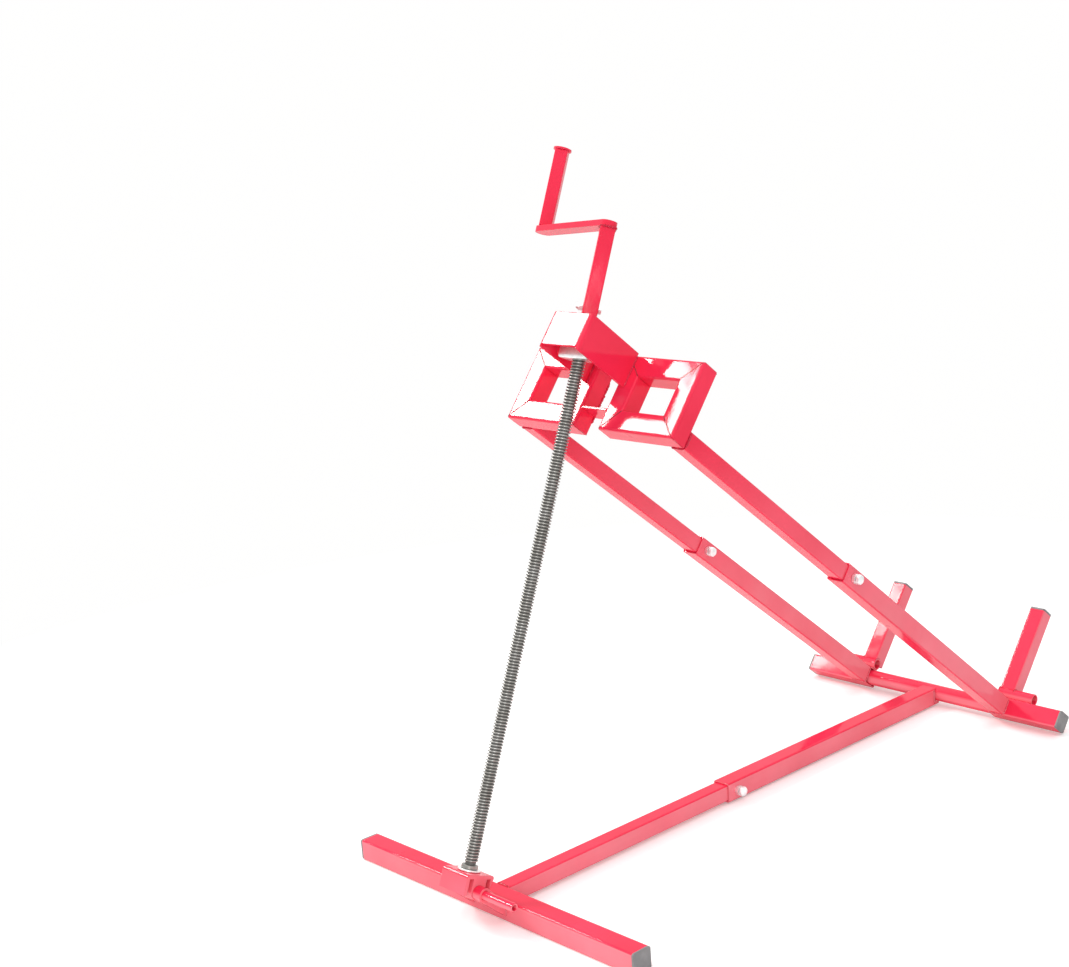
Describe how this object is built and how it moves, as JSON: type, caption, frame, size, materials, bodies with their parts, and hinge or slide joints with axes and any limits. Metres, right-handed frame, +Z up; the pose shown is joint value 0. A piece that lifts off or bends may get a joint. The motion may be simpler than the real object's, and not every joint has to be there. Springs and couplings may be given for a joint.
{
  "type": "lawn mower lift",
  "caption": "Screw-operated lift for a ride-on mower: T-shaped tube base, hinged telescoping arms with wheel cradles and stops, and a long crank screw.",
  "frame": {"origin": "on the floor, at the middle of the front foot's underside", "axes": "+Z up, +Y from the front foot to the rear hinge, +X to the right of the lift seen from the front foot"},
  "size_m": [0.544, 1.1866, 0.9632],
  "materials": {
    "red_paint": "glossy red paint over welded square tube",
    "zinc": "bright zinc plate",
    "screw_steel": "lightly oiled rolled trapezoidal thread",
    "grey_plastic": "moulded grey end cap"
  },
  "bodies": {
    "rear_base": {"base_beam_outer": "red_paint", "hinge_pipe": "red_paint", "base_clamp_nut": "zinc"},
    "front_base": {"front_foot": "red_paint", "foot_cap_left": "grey_plastic", "foot_cap_right": "grey_plastic", "base_beam_inner": "red_paint", "swivel_pin": "red_paint", "pin_lug_left": "red_paint", "pin_lug_right": "red_paint"},
    "yoke": {"swivel_block": "red_paint", "thrust_washer": "zinc"},
    "spindle": {"screw_rod": "screw_steel", "crank_socket": "red_paint", "crank_cross_bolt": "zinc", "crank_cross_nut": "zinc", "crank_bar": "red_paint", "grip_pin": "red_paint"},
    "grip": {"grip_tube": "red_paint"},
    "lift_lower": {"stub_tube_left": "red_paint", "stub_tube_right": "red_paint", "stub_cap_left": "grey_plastic", "stub_cap_right": "grey_plastic", "arm_sleeve_left": "red_paint", "arm_sleeve_right": "red_paint", "stop_post_left": "red_paint", "stop_post_right": "red_paint", "stop_round_left": "red_paint", "stop_round_right": "red_paint", "stop_cap_left": "grey_plastic", "stop_cap_right": "grey_plastic", "arm_clamp_nut_left": "zinc", "arm_clamp_nut_right": "zinc"},
    "lift_upper": {"arm_slide_left": "red_paint", "arm_slide_right": "red_paint", "cradle_left_bottom": "red_paint", "cradle_left_top": "red_paint", "cradle_left_outer": "red_paint", "cradle_left_inner": "red_paint", "cradle_right_bottom": "red_paint", "cradle_right_top": "red_paint", "cradle_right_outer": "red_paint", "cradle_right_inner": "red_paint", "cradle_tie_plate": "red_paint", "head_bracket": "red_paint", "nut_saddle_left": "red_paint", "nut_saddle_right": "red_paint"},
    "nut": {"swivel_nut": "zinc"},
    "base_clamp": {"base_clamp_screw": "zinc"},
    "left_clamp": {"arm_clamp_screw_left": "zinc"},
    "right_clamp": {"arm_clamp_screw_right": "zinc"}
  },
  "joints": [
    {"name": "lift_hinge", "type": "hinge", "parent": "rear_base", "child": "lift_lower", "pos_m": [0, 0.988, 0.02105], "axis": [1, 0, 0], "range_deg": [0, 34]},
    {"name": "arm_telescope", "type": "slide", "parent": "lift_lower", "child": "lift_upper", "axis": [0, 0.7891, -0.6143], "range_m": [0, 0.055]},
    {"name": "nut_tilt", "type": "hinge", "parent": "lift_upper", "child": "nut", "pos_m": [0, 0.21451, 0.70937], "axis": [1, 0, 0], "range_deg": [-17.5, 0]},
    {"name": "base_telescope", "type": "slide", "parent": "rear_base", "child": "front_base", "axis": [0, 1, 0], "range_m": [0, 0.0565]},
    {"name": "yoke_tilt", "type": "hinge", "parent": "front_base", "child": "yoke", "pos_m": [0, -0.047, 0.05], "axis": [1, 0, 0], "range_deg": [0, 17.5]},
    {"name": "screw_turn", "type": "hinge", "parent": "yoke", "child": "spindle", "pos_m": [0, -0.047, 0.05], "axis": [0, 0.3687, 0.9296], "continuous": true},
    {"name": "grip_spin", "type": "hinge", "parent": "spindle", "child": "grip", "pos_m": [-0.15494, 0.30608, 0.85626], "axis": [0, 0.3687, 0.9296], "continuous": true},
    {"name": "base_clamp_loosen", "type": "slide", "parent": "rear_base", "child": "base_clamp", "axis": [1, 0, 0], "range_m": [0, 0.004]},
    {"name": "left_clamp_loosen", "type": "slide", "parent": "lift_lower", "child": "left_clamp", "axis": [1, 0, 0], "range_m": [0, 0.004]},
    {"name": "right_clamp_loosen", "type": "slide", "parent": "lift_lower", "child": "right_clamp", "axis": [1, 0, 0], "range_m": [0, 0.004]}
  ],
  "couplings": [
    {"joint": "yoke_tilt", "follows": "lift_hinge", "ratio": 0.5},
    {"joint": "nut_tilt", "follows": "lift_hinge", "ratio": -0.5},
    {"joint": "base_telescope", "follows": "arm_telescope", "ratio": 1.018}
  ]
}
